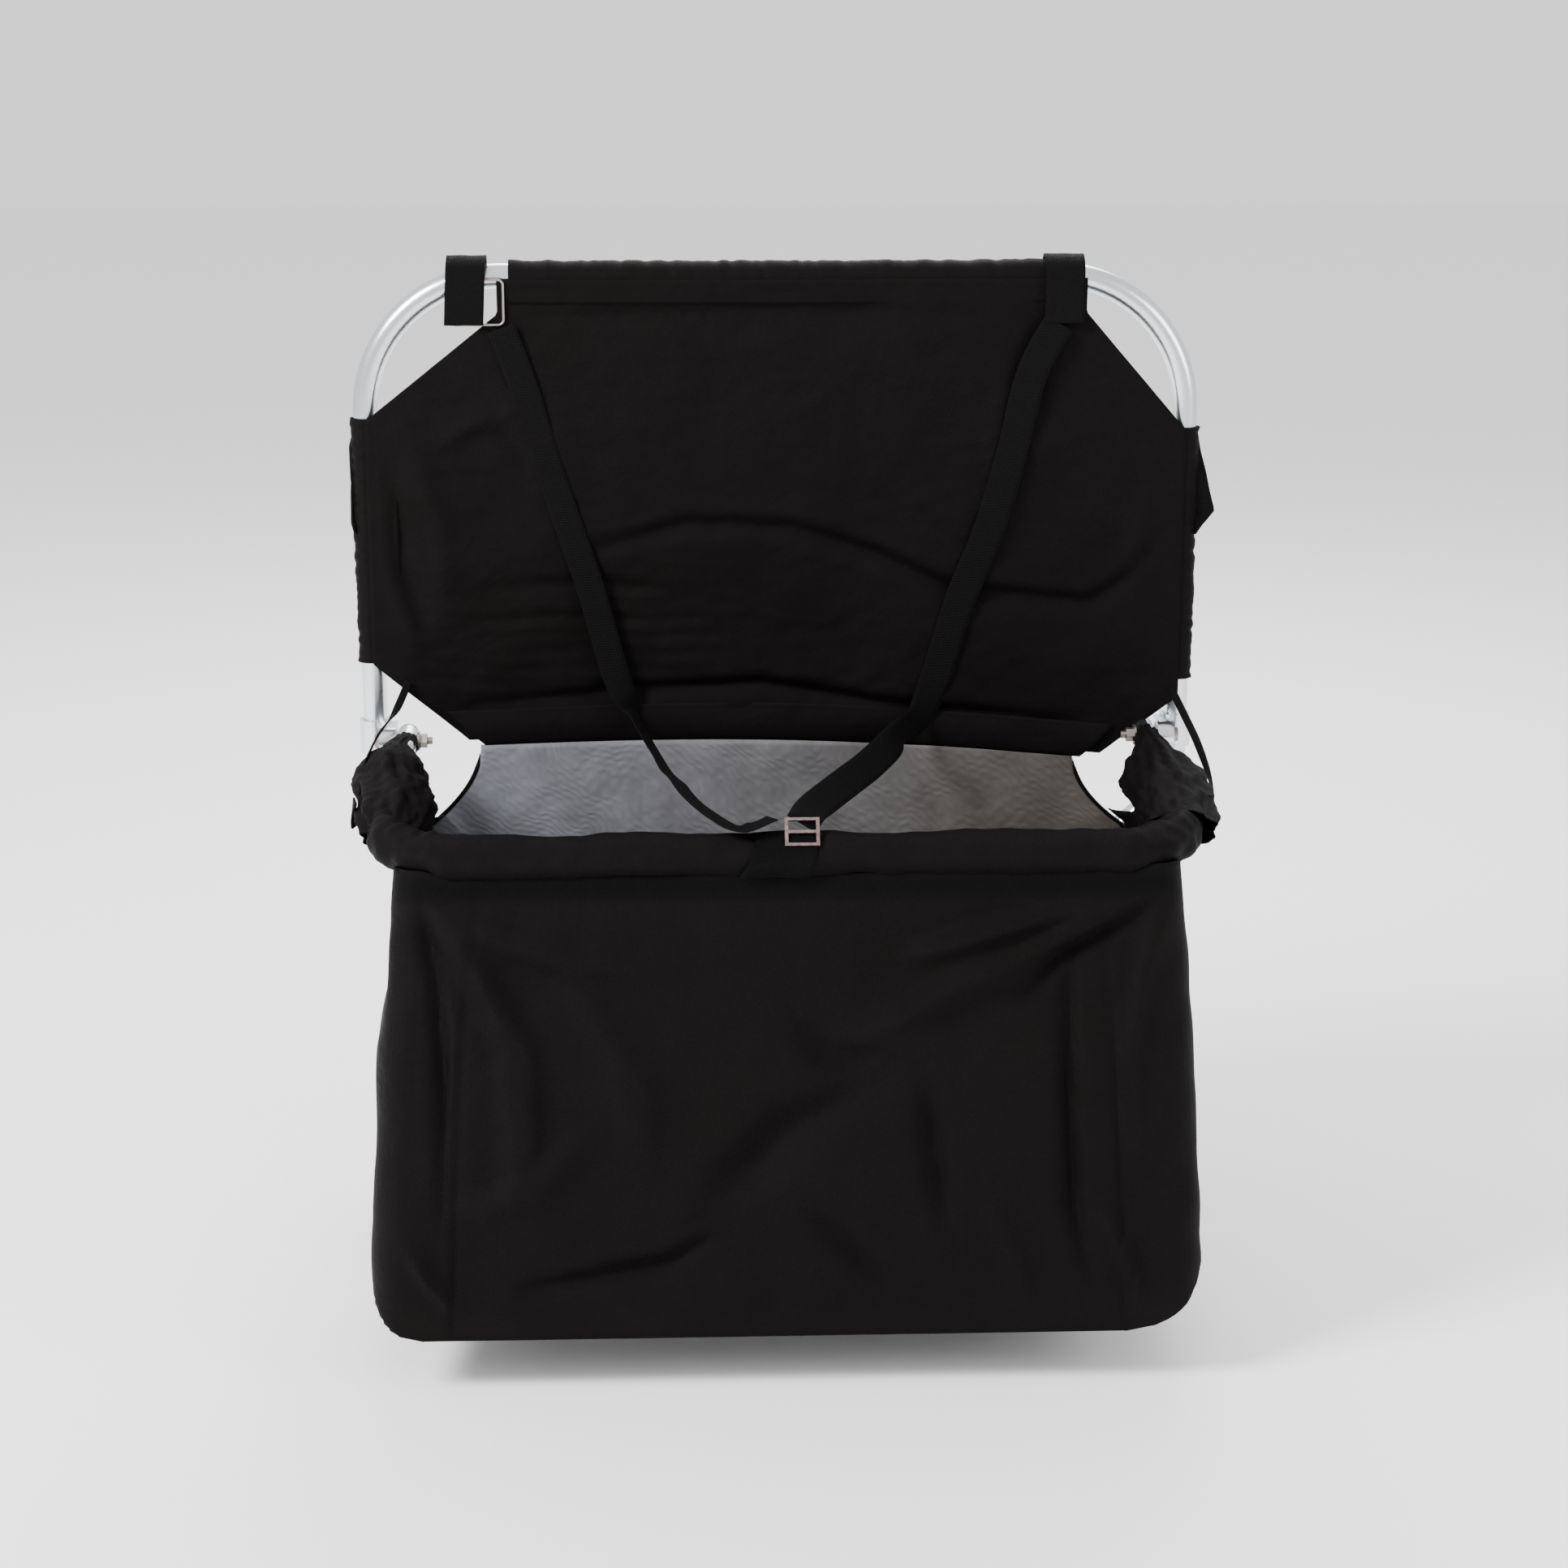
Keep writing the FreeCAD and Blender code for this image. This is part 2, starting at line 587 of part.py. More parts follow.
save(anchor_tab(), "anchor_tab")
save(slider(), "slider")
pair(check_anchor(), "check_anchor")
save(back_panel(), "back_panel")
save(lower_hem(), "lower_hem")
pair(web_loop(), "web_loop")
save(strap_ring(), "strap_ring")
save(side_tab(24.0, 5.0), "side_tab_right")
save(mirror(side_tab(14.0, 6.0)), "side_tab_left")
save(bag_back(), "bag_back")
pair(back_piping(), "back_piping")
save(bag_front(), "bag_front")
pair(bag_gusset(), "bag_gusset")
save(bag_base(), "bag_base")
save(base_board(), "base_board")
save(v_strap_left(), "v_strap_left")
save(v_strap_right(), "v_strap_right")
pair(check_strap(), "check_strap")
print("row_y", row_y, "nodes", len(os.listdir("parts")))
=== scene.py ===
import math

import bpy
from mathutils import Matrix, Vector, noise


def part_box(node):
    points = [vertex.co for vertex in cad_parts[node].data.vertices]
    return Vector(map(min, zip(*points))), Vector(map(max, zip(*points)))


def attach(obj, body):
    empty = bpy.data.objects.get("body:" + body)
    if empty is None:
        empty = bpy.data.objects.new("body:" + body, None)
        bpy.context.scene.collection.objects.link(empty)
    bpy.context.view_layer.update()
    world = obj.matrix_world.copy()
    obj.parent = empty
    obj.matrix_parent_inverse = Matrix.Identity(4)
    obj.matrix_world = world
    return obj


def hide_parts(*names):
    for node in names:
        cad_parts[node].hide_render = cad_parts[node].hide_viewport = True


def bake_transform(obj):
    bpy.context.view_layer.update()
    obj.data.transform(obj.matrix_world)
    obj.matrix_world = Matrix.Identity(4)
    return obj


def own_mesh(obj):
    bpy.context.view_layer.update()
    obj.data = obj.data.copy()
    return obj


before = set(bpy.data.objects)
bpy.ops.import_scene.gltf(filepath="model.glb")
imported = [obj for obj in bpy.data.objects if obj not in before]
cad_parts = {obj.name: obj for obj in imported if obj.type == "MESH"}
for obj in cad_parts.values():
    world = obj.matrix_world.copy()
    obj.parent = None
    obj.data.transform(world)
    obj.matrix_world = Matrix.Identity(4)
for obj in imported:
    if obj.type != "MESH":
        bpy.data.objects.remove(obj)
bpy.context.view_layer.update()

# ---------------------------------------------------------------- places, from the frame
hoop_lo, hoop_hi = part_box("frame_hoop")
bolt_lo, bolt_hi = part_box("pivot_bolt_right")
mouth_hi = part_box("mouth_hoop")[1]
wall_lo, wall_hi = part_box("bag_front")
back_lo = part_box("bag_back")[0]

TUBE = 9.5                                             # frame tube radius, mm
PLANE_Y = (hoop_lo.y + hoop_hi.y) / 2                   # the frame's own plane, m
HINGE_Z = (bolt_lo.z + bolt_hi.z) / 2
PIVOT_Y = ((bolt_lo.y + bolt_hi.y) / 2 - PLANE_Y) * 1000
SIDE_X = hoop_hi.x * 1000 - TUBE
TOP_Z = (hoop_hi.z - HINGE_Z) * 1000 - TUBE             # centre of the top bar
ARM_TUBE = 8.0                                         # mouth hoop tube radius
ARM_X = mouth_hi.x * 1000 - ARM_TUBE
REACH, DROOP, BEND = 230.0, math.radians(7.5), 55.0     # mouth hoop, as the frame has it
ROLL = 18.0                                            # radius of the gathered roll on its front bar
UNDER_ARM = -19.5                                      # the bag's top edge hangs this far under the arms
WALL_Y = (wall_lo.y - PLANE_Y) * 1000                   # outer face of the bag's front wall
WALL_TOP = (wall_hi.z - HINGE_Z) * 1000
WALL_LOW = (wall_lo.z - HINGE_Z) * 1000
BACK_Y = (back_lo.y - PLANE_Y) * 1000                   # front face of the bag's back wall
PANEL_Y = BACK_Y + 1.5                                  # front face of the back panel
BAR = Vector((0, PIVOT_Y - REACH * math.cos(DROOP), -REACH * math.sin(DROOP)))


def place(x, y, z):
    """Millimetres from the hinge line, on the frame's plane, to the row's metres."""
    return Vector((x / 1000, y / 1000 + PLANE_Y, z / 1000 + HINGE_Z))


def lerp(a, b, t):
    return a + (b - a) * t


def ease(t):
    t = min(1.0, max(0.0, t))
    return t * t * (3 - 2 * t)


# ---------------------------------------------------------------- camera
def set_camera():
    aim = place(5.5, 0, -44)
    turn, lift, far = math.radians(-2.1), math.radians(15), 2.411
    away = Vector((math.sin(turn) * math.cos(lift), -math.cos(turn) * math.cos(lift), math.sin(lift)))
    data = bpy.data.cameras.new("camera")
    data.lens, data.sensor_width = 69.1, 36.0
    cam = bpy.data.objects.new("camera", data)
    cam.location = aim + away * far
    cam.rotation_euler = away.to_track_quat("Z", "Y").to_euler()
    bpy.context.scene.collection.objects.link(cam)
    bpy.context.scene.camera = cam


# ---------------------------------------------------------------- shader helpers
class Sock:
    """A socket that does arithmetic by adding Math nodes."""

    def __init__(self, mat, out):
        self.mat, self.out = mat, out

    def _math(self, op, *args):
        return self.mat.node("ShaderNodeMath", {"operation": op}, dict(enumerate(args)))

    def __add__(self, other):
        return self._math("ADD", self, other)

    def __radd__(self, other):
        return self._math("ADD", other, self)

    def __sub__(self, other):
        return self._math("SUBTRACT", self, other)

    def __rsub__(self, other):
        return self._math("SUBTRACT", other, self)

    def __mul__(self, other):
        return self._math("MULTIPLY", self, other)

    def __rmul__(self, other):
        return self._math("MULTIPLY", other, self)

    def sine(self):
        return self._math("SINE", self)

    def clamp(self):
        return self.mat.node("ShaderNodeMath", {"operation": "ADD", "use_clamp": True}, {0: self, 1: 0.0})


class Finish:
    """One material with its shader, ready for expressions."""

    def __init__(self, name, **values):
        self.mat = bpy.data.materials.new(name)
        self.mat.use_nodes = True
        self.tree = self.mat.node_tree
        self.shader = next(n for n in self.tree.nodes if n.type == "BSDF_PRINCIPLED")
        for socket, value in values.items():
            self.set(socket.replace("_", " "), value)

    def set(self, socket, value):
        target = self.shader.inputs[socket]
        if isinstance(value, Sock):
            self.tree.links.new(value.out, target)
        else:
            target.default_value = value

    def node(self, kind, settings=None, inputs=None, output=0):
        n = self.tree.nodes.new(kind)
        for key, value in (settings or {}).items():
            if key == "stops":
                ramp = n.color_ramp
                while len(ramp.elements) < len(value):
                    ramp.elements.new(0.5)
                for stop, (at, colour) in zip(ramp.elements, value):
                    stop.position, stop.color = at, colour
            else:
                setattr(n, key, value)
        for key, value in (inputs or {}).items():
            if isinstance(value, Sock):
                self.tree.links.new(value.out, n.inputs[key])
            else:
                n.inputs[key].default_value = value
        return Sock(self, n.outputs[output])

    def here(self, axis=None):
        """Object coordinates in metres, or one axis of them."""
        spot = self.node("ShaderNodeTexCoord", output="Object")
        if axis is None:
            return spot
        return self.node("ShaderNodeSeparateXYZ", {}, {0: spot}, output=axis)

    def clouds(self, scale, detail=3.0, rough=0.5):
        inputs = {"Vector": self.here(), "Scale": scale, "Detail": detail, "Roughness": rough}
        return self.node("ShaderNodeTexNoise", {}, inputs, output="Fac")

    def ramp(self, factor, low, high):
        """0 below one value of the factor, 1 above another."""
        stops = [(low, (0, 0, 0, 1)), (high, (1, 1, 1, 1))]
        return self.node("ShaderNodeValToRGB", {"stops": stops}, {0: factor})

    def mix(self, factor, a, b):
        n = self.tree.nodes.new("ShaderNodeMix")
        n.data_type = "RGBA"
        for key, value in ((0, factor), (6, a), (7, b)):
            if isinstance(value, Sock):
                self.tree.links.new(value.out, n.inputs[key])
            else:
                n.inputs[key].default_value = value
        return Sock(self, n.outputs[2])

    def bump(self, height, depth, strength=1.0):
        out = self.node("ShaderNodeBump", {}, {"Height": height, "Distance": depth, "Strength": strength})
        self.set("Normal", out)


def grey(v):
    return (v, v, v, 1.0)


def weave(f, pitch):
    """Over-and-under threads at a pitch in metres, as a height from 0 to 1."""
    k = 2 * math.pi / pitch
    x, y, z = f.here("X"), f.here("Y"), f.here("Z")
    a = ((x + y * 0.9) * k).sine()
    b = ((z + y * 0.45) * k).sine()
    return (a * b) * 0.5 + 0.5


def black_cloth():
    """Coated black cloth: a fine weave, slightly warmer and cooler patches, a crushed surface, and a painted
    shadow band under the front roll.
    """
    f = Finish("black coated cloth", Sheen_Weight=0.006, Sheen_Roughness=0.5)
    f.set("Specular IOR Level", 0.05)
    f.set("Sheen Tint", (0.55, 0.5, 0.56, 1))
    threads = weave(f, 0.0013)
    patches = f.clouds(5.0, 4.0, 0.6)
    lint = f.clouds(160.0, 2.0)
    tint = f.mix(f.ramp(patches, 0.35, 0.68), (0.0022, 0.0016, 0.0013, 1), (0.0026, 0.0018, 0.0024, 1))
    worn = f.mix((threads * lint * 0.8).clamp(), tint, (0.0046, 0.0035, 0.0038, 1))
    under = (f.here("Z") - (HINGE_Z + (WALL_TOP - 3) / 1000)) * 72.0      # painted shadow: a dark band on the cloth just under the front roll
    f.set("Base Color", f.mix((1 - under * under).clamp() * 0.75, worn, (0.0004, 0.0003, 0.0003, 1)))
    f.set("Roughness", 0.5 + patches * 0.2)
    crush = f.node("ShaderNodeTexNoise", {},
                   {"Vector": f.here(), "Scale": 9.0, "Detail": 5.0, "Distortion": 1.4}, output="Fac")
    f.bump(threads * 0.5 + lint * 0.4 + f.clouds(38.0, 3.0) * 2.2 + crush * 7.0, 0.0007, 0.85)
    return f.mat


def lining_cloth():
    """Pale lining with faint slanting ribs and soft blotches, with painted light: brighter and cooler on the
    left, darker and warmer on the right, and the ribs painted in as faint sheen stripes.
    """
    f = Finish("grey lining cloth", Roughness=0.7, Sheen_Weight=0.1)
    f.set("Specular IOR Level", 0.3)
    k = 2 * math.pi / 0.0085
    x, z = f.here("X"), f.here("Z")
    warp = f.clouds(9.0, 4.0) * 0.14
    rib = (((x * 0.75 + z * 1.15) + warp) * k).sine() * 0.5 + 0.5
    cross = (((z * 1.3 - x * 0.5) + warp) * (k * 0.7)).sine() * 0.5 + 0.5
    # painted light: the lining is brighter and cooler on the left, darker and warmer on the right
    side = f.node("ShaderNodeMapRange", {}, {"Value": x, "From Min": -0.22, "From Max": 0.2})
    painted_light_tones = f.mix(side, (0.165, 0.168, 0.195, 1), (0.078, 0.068, 0.058, 1))
    pale = f.mix(side, (0.095, 0.097, 0.112, 1), (0.046, 0.040, 0.035, 1))
    blotch = f.ramp(f.clouds(26.0, 3.0), 0.3, 0.7)
    # the slanting ribs also lighten the colour as painted sheen stripes
    f.set("Base Color", f.mix((rib * cross * 0.2 + blotch * 0.7).clamp(), pale, painted_light_tones))
    f.bump(rib * 0.25 + cross * 0.15 + f.clouds(25.0, 3.0) * 4.0, 0.0008, 0.8)
    return f.mat


def webbing(name="black webbing", tone=1.0):
    """Black tape with a diamond rib."""
    f = Finish(name, Sheen_Weight=0.006)
    f.set("Specular IOR Level", 0.055)
    k = 2 * math.pi / 0.0022
    x, y, z = f.here("X"), f.here("Y"), f.here("Z")
    a = ((x + z * 0.75 + y * 0.5) * k).sine()
    b = ((x * 0.9 - z - y * 0.4) * k).sine()
    ribs = (a * b) * 0.5 + 0.5
    f.set("Base Color", f.mix((ribs * 0.8 + f.clouds(90.0) * 0.2).clamp(),
                              (0.0010 * tone, 0.0009 * tone, 0.0009 * tone, 1),
                              (0.0036 * tone, 0.0029 * tone, 0.0030 * tone, 1)))
    f.set("Roughness", 0.52 + ribs * 0.2)
    f.bump(ribs + f.clouds(120.0) * 0.3, 0.0007, 0.9)
    return f.mat


def bright_tube():
    f = Finish("bright tube", Metallic=1.0)
    streak = f.clouds(220.0, 2.0)
    haze = f.clouds(9.0, 4.0)
    f.set("Base Color", f.mix(haze, (0.60, 0.64, 0.68, 1), (0.78, 0.80, 0.82, 1)))
    f.set("Roughness", 0.16 + haze * 0.12 + streak * 0.05)
    f.bump(streak, 0.00005, 0.3)
    return f.mat


def zinc_steel():
    f = Finish("zinc plated steel", Metallic=1.0)
    haze = f.clouds(60.0, 4.0)
    f.set("Base Color", f.mix(haze, (0.20, 0.165, 0.15, 1), (0.42, 0.37, 0.34, 1)))
    f.set("Roughness", 0.3 + haze * 0.2)
    f.bump(f.clouds(400.0), 0.00006, 0.4)
    return f.mat


def aged_metal():
    f = Finish("brown plated slider", Metallic=1.0)
    wear = f.clouds(260.0, 3.0)
    f.set("Base Color", f.mix(wear, (0.09, 0.06, 0.055, 1), (0.40, 0.32, 0.30, 1)))
    f.set("Roughness", 0.25 + wear * 0.25)
    f.bump(f.clouds(300.0), 0.0001, 0.5)
    return f.mat


def moulded(name, tone):
    f = Finish(name)
    f.set("Specular IOR Level", 0.4)
    grain = f.clouds(700.0, 2.0)
    f.set("Base Color", f.mix(f.clouds(30.0), grey(tone), grey(tone * 1.5)))
    f.set("Roughness", 0.42 + grain * 0.2)
    f.bump(grain, 0.00012, 0.6)
    return f.mat


def rubber():
    f = Finish("black rubber")
    f.set("Specular IOR Level", 0.35)
    dust = f.clouds(45.0, 4.0)
    f.set("Base Color", f.mix(dust, (0.012, 0.012, 0.012, 1), (0.035, 0.034, 0.032, 1)))
    f.set("Roughness", 0.65 + dust * 0.25)
    f.bump(f.clouds(500.0), 0.0002, 0.7)
    return f.mat


def hardboard():
    f = Finish("base board")
    f.set("Base Color", f.mix(f.clouds(120.0), (0.02, 0.018, 0.016, 1), (0.05, 0.045, 0.04, 1)))
    f.set("Roughness", 0.7 + f.clouds(60.0) * 0.2)
    f.bump(f.clouds(600.0), 0.0002, 0.6)
    return f.mat


# ---------------------------------------------------------------- soft goods
def sheet_grid(name, across, up, shape, close=False):
    """A grid laid over a surface: shape(u, v) gives the place of each of its corners."""
    bpy.ops.object.select_all(action="DESELECT")
    bpy.ops.mesh.primitive_grid_add(x_subdivisions=across, y_subdivisions=up, size=2.0)
    o = bpy.context.object
    o.name = o.data.name = name
    for v in o.data.vertices:
        v.co = shape((v.co.x + 1) / 2, (v.co.y + 1) / 2)
    if close:
        bpy.ops.object.mode_set(mode="EDIT")
        bpy.ops.mesh.select_all(action="SELECT")
        bpy.ops.mesh.remove_doubles(threshold=0.00005)
        bpy.ops.mesh.normals_make_consistent(inside=False)
        bpy.ops.object.mode_set(mode="OBJECT")
    return o


def thicken(o, thick, offset=0.0):
    """Gives a surface the thickness of its cloth, in mm."""
    bpy.context.view_layer.objects.active = o
    m = o.modifiers.new("wall", "SOLIDIFY")
    m.thickness, m.offset = thick / 1000, offset
    bpy.ops.object.modifier_apply(modifier=m.name)
    for p in o.data.polygons:
        p.use_smooth = True
    return o


def dress(o, body, finish, nodes):
    """Finish and body of a piece, and the frame's own pieces that it stands for."""
    o.data.materials.clear()
    o.data.materials.append(finish)
    if body:
        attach(o, body)
    if nodes:
        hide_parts(*nodes)
    return o


def near_line(x, z, line):
    """Distance from a point to a run of points, its side (+1 above) and how far along it lies."""
    best = (1e9, 1.0, 0.0)
    n = len(line) - 1
    for i in range(n):
        (ax, az), (bx, bz) = line[i], line[i + 1]
        dx, dz = bx - ax, bz - az
        t = max(0.0, min(1.0, ((x - ax) * dx + (z - az) * dz) / (dx * dx + dz * dz)))
        px, pz = x - ax - t * dx, z - az - t * dz
        d = math.hypot(px, pz)
        if d < best[0]:
            best = (d, 1.0 if dx * pz - dz * px >= 0 else -1.0, (i + t) / n)
    return best


def fold(x, z, line, width, depth, step=0.0):
    """A crease that fades out at its ends: depth raises a ridge, step lifts one side more than the other."""
    d, side, t = near_line(x, z, line)
    if d > 4 * width:
        return 0.0
    fade = math.sin(math.pi * min(1.0, max(0.0, 0.04 + t * 0.92))) ** 0.6
    r = d / width
    return fade * (depth * math.exp(-r * r) + step * side * r * math.exp(-r * r))


def rumple(x, z, size, seed=0.0):
    return noise.noise(Vector((x / size, z / size, seed)))


def settle(o, pinned, slack, press, cap):
    """Hangs the cloth under its own weight with a little slack, and holds it near its cut shape."""
    frames, stiff = 18, 12.0
    start = [v.co.copy() for v in o.data.vertices]
    group = o.vertex_groups.new(name="sewn")
    group.add([v.index for v in o.data.vertices if pinned(v.co)], 1.0, "REPLACE")
    m = o.modifiers.new("drape", "CLOTH")
    s = m.settings
    s.quality, s.mass, s.vertex_group_mass = 6, 0.25, "sewn"
    s.tension_stiffness = s.compression_stiffness = stiff
    s.shear_stiffness, s.bending_stiffness = 6.0, 0.6
    s.shrink_min = -slack
    s.use_pressure, s.uniform_pressure_force = True, press
    m.collision_settings.use_self_collision = False
    m.collision_settings.use_collision = False
    m.point_cache.frame_start, m.point_cache.frame_end = 1, frames
    scene = bpy.context.scene
    for k in range(1, frames + 1):
        scene.frame_set(k)
    bpy.context.view_layer.objects.active = o
    bpy.ops.object.modifier_apply(modifier=m.name)
    o.vertex_groups.clear()
    scene.frame_set(1)
    for v, a in zip(o.data.vertices, start):
        d = v.co - a
        far = d.length * 1000
        if far > cap:
            v.co = a + d * (cap / far)
    return o


# ---- back panel
PANEL_LOW = -14.0                                       # lower edge of the panel, below the hinge line


def panel_half(z, left):
    """Half width of the panel at a height: cut corners above and below, sleeves at the sides."""
    side = SIDE_X
    low_z, high_z = (62.0, 250.0) if left else (44.0, 240.0)
    low_x = 230.0 if left else 241.0
    top_x = 214.0 if left else 238.0
    if z < low_z:
        return lerp(low_x, side, part_of(z - PANEL_LOW, low_z - PANEL_LOW))
    if z > high_z:
        return lerp(side, top_x, min(1.0, (z - high_z) / (TOP_Z - 28 - high_z)))
    return side


def part_of(a, whole):
    return min(1.0, max(0.0, a / whole))


# Each fold is its run across the cloth (mm from the hinge line's middle), its width, the height of
# its ridge and how much one side steps in front of the other. The first is the long bowed crease.
PANEL_FOLDS = (
    ([(-142, 153), (-72, 173), (11, 169), (76, 148), (136, 120), (243, 107), (273, 125), (307, 173)],
     8, -4.6, 6.0),
    ([(-256, 232), (-235, 246), (-215, 251)], 8, 3.0, 2.5),
    ([(-215, 251), (-200, 235), (-188, 209)], 8, -2.4, 2.0),
    ([(-312, 225), (-306, 131), (-285, 84)], 9, 4.2, 0.0),
    ([(-299, 215), (-292, 135), (-276, 84)], 8, -3.6, 0.0),
    ([(-285, 240), (-262, 170), (-258, 100)], 12, 3.0, 0.0),
    ([(296, 205), (281, 150), (285, 60)], 10, 3.6, 0.0),
    ([(-240, 27), (-122, 38), (-13, 43), (77, 27), (168, 17), (235, 9)], 6, -5.5, 4.0),
    ([(-190, 330), (0, 338), (180, 330)], 7, -2.4, 1.6),
    ([(-90, 330), (-20, 326), (60, 332)], 9, -1.8, 1.8),
    ([(-250, 300), (-205, 268), (-196, 215)], 10, 2.4, 0.0),
    ([(180, 300), (168, 230), (172, 150)], 9, 2.2, 0.0),
    ([(-250, 120), (-150, 126), (-60, 116)], 6, -1.6, 1.4),
    ([(-255, 92), (-160, 100), (-90, 92)], 6, -1.4, 1.2),
    ([(206, 320), (200, 285), (203, 250)], 10, -3.0, 1.0),
)


def panel_bulge(x, z):
    """How far the panel's cloth stands in front of its flat plane."""
    d = sum(fold(x, z, *f) for f in PANEL_FOLDS)
    low_left = ease((150 - z) / 60) * ease((z - 20) / 30) * ease((20 - x) / 120)
    d += 0.3 * low_left * math.sin(z * 0.46 + 2.2 * rumple(x, z, 60, 3.1) + x * 0.012)
    d += 5.0 * rumple(x, z, 120, 1.7) + 1.8 * rumple(x, z, 42, 5.3) + 0.6 * rumple(x, z * 1.7, 18, 8.8)
    edge = min((SIDE_X - abs(x)) / 40, (z - PANEL_LOW) / 20, (TOP_Z - z) / 30)
    return d * ease(edge)


def back_panel(cloth):
    def shape(u, v):
        z = lerp(PANEL_LOW + 12, TOP_Z - 2, v)
        s = u * 2 - 1
        x = panel_half(z, s < 0) * s
        z += (1 - v) ** 2 * (9 * math.cos(x / 150) - 7 - x * 0.028) if v < 0.5 else 0.0
        y = PANEL_Y - 0.4 - 2.0 * (1 - s * s) * (1 - abs(2 * v - 1))
        return place(x, y - panel_bulge(x, z), z)

    o = sheet_grid("back_panel_cloth", 190, 120, shape)
    thicken(o, 1.2)
    return dress(o, "frame", cloth, ["back_panel"])


def sleeve(name, run, cloth, lap, wrinkle, seed):
    """Cloth turned round a tube and lapped flat behind and in front, from a run of (centre, outward)."""
    n = len(run)
    radius = TUBE + 1.6

    def shape(u, v):
        at = v * (n - 1)
        i = min(n - 2, int(at))
        c = run[i][0].lerp(run[i + 1][0], at - i)
        out = run[i][1].lerp(run[i + 1][1], at - i).normalized()
        front = Vector((0, -1, 0))
        flat = lap / (lap * 2 + math.pi * radius)
        ripple = wrinkle * noise.noise(Vector((u * 3.0, v * n * 1.3, seed)))
        if u < flat:
            return c + (front * (radius + ripple * 0.3) - out * lap * (1 - u / flat)) / 1000
        if u > 1 - flat:
            return c + (-front * (radius + ripple * 0.3) - out * lap * (1 - (1 - u) / flat)) / 1000
        a = math.pi * (u - flat) / (1 - 2 * flat)
        r = radius + ripple
        return c + (front * math.cos(a) * r + out * math.sin(a) * r) / 1000

    o = sheet_grid(name, 36, n * 4, shape)
    thicken(o, 1.0)
    return dress(o, "frame", cloth, [])


def panel_sleeves(cloth):
    made = []
    for side, name in ((-1, "left"), (1, "right")):
        lo, hi = (60, 252) if side < 0 else (42, 242)
        run = [(place(side * SIDE_X, 0, lerp(lo, hi, k / 30)), Vector((side, 0, 0))) for k in range(31)]
        made.append(sleeve("panel_sleeve_" + name, run, cloth, lap=24, wrinkle=1.3, seed=side * 4.0))
    left, right = -205.0, 232.0
    run = []
    for k in range(51):
        z = TOP_Z - 0.6 * math.sin(math.pi * k / 50)
        run.append((place(lerp(left, right, k / 50), 0, z), Vector((0, 0, 1))))
    made.append(sleeve("panel_sleeve_top", run, cloth, lap=20, wrinkle=1.1, seed=9.0))
    return made


def lower_hem(cloth):
    """Doubled band along the panel's lower edge, bowed up a little in the middle."""
    def shape(u, v):
        s = u * 2 - 1
        x = lerp(231.0, 262.0, v) * s if s < 0 else lerp(241.0, 268.0, v) * s
        z = lerp(PANEL_LOW, PANEL_LOW + 30, v)
        z += 9 * math.cos(x / 150) + 1 - x * 0.028 - 2 * v * abs(s)
        puff = 2.2 * math.sin(math.pi * min(1, v * 1.15)) ** 0.6
        y = PANEL_Y - 0.8 - puff - 1.2 * rumple(x, z, 50, 2.2) * math.sin(math.pi * v)
        return place(x, y, z)

    o = sheet_grid("panel_hem", 120, 12, shape)
    thicken(o, 1.3)
    return dress(o, "frame", cloth, ["lower_hem"])


# ---- bag
def mouth_at(u, lift=0.0):
    """(y, z) at a distance in front of the pivots along the open mouth."""
    c, s = math.cos(DROOP), math.sin(DROOP)
    return (PIVOT_Y - u * c - lift * s, -u * s + lift * c)


BAG_TOP_X, BAG_LOW_X = 284.0, 312.5                    # half widths of the front wall
FRONT_FOLDS = (
    ([(-262, -58), (-236, -100), (-201, -168), (-200, -235), (-206, -275)], 16, 7.0, 5.0),
    ([(-262, -52), (-253, -120), (-250, -200), (-254, -300)], 7, -4.5, 3.0),
    ([(-255, -56), (-205, -88), (-150, -104), (-90, -110)], 15, 5.0, 0.0),
    ([(278, -46), (200, -84), (120, -122), (62, -156)], 11, 6.5, 5.0),
    ([(272, -44), (205, -66), (140, -84), (87, -101)], 9, 5.5, 4.0),
    ([(276, -58), (240, -80), (195, -106), (175, -130)], 9, -5.0, 4.0),
    ([(270, -70), (258, -120), (250, -190), (255, -260)], 10, 4.5, 0.0),
    ([(206, -104), (207, -200), (214, -300), (226, -350)], 9, -5.5, 4.5),
    ([(103, -200), (109, -250), (121, -318)], 12, -5.0, 4.0),
    ([(-61, -290), (-7, -232), (53, -196)], 24, -6.5, 4.5),
    ([(-193, -356), (-140, -347), (-92, -338), (-60, -318)], 9, -6.0, 4.0),
    ([(20, -300), (50, -330), (76, -362)], 13, -5.0, 3.2),
    ([(-238, -300), (-190, -278), (-150, -240)], 15, 5.0, 0.0),
    ([(232, -300), (250, -340), (256, -372)], 8, 4.5, 2.0),
    ([(-280, -330), (-268, -352), (-250, -372)], 8, 4.5, 2.0),
    ([(150, -300), (170, -345), (178, -380)], 10, 4.0, 0.0),
    ([(-160, -120), (-120, -190), (-110, -260)], 20, 4.0, 3.0),
    ([(10, -150), (30, -175), (90, -180)], 14, -4.0, 3.0),
)


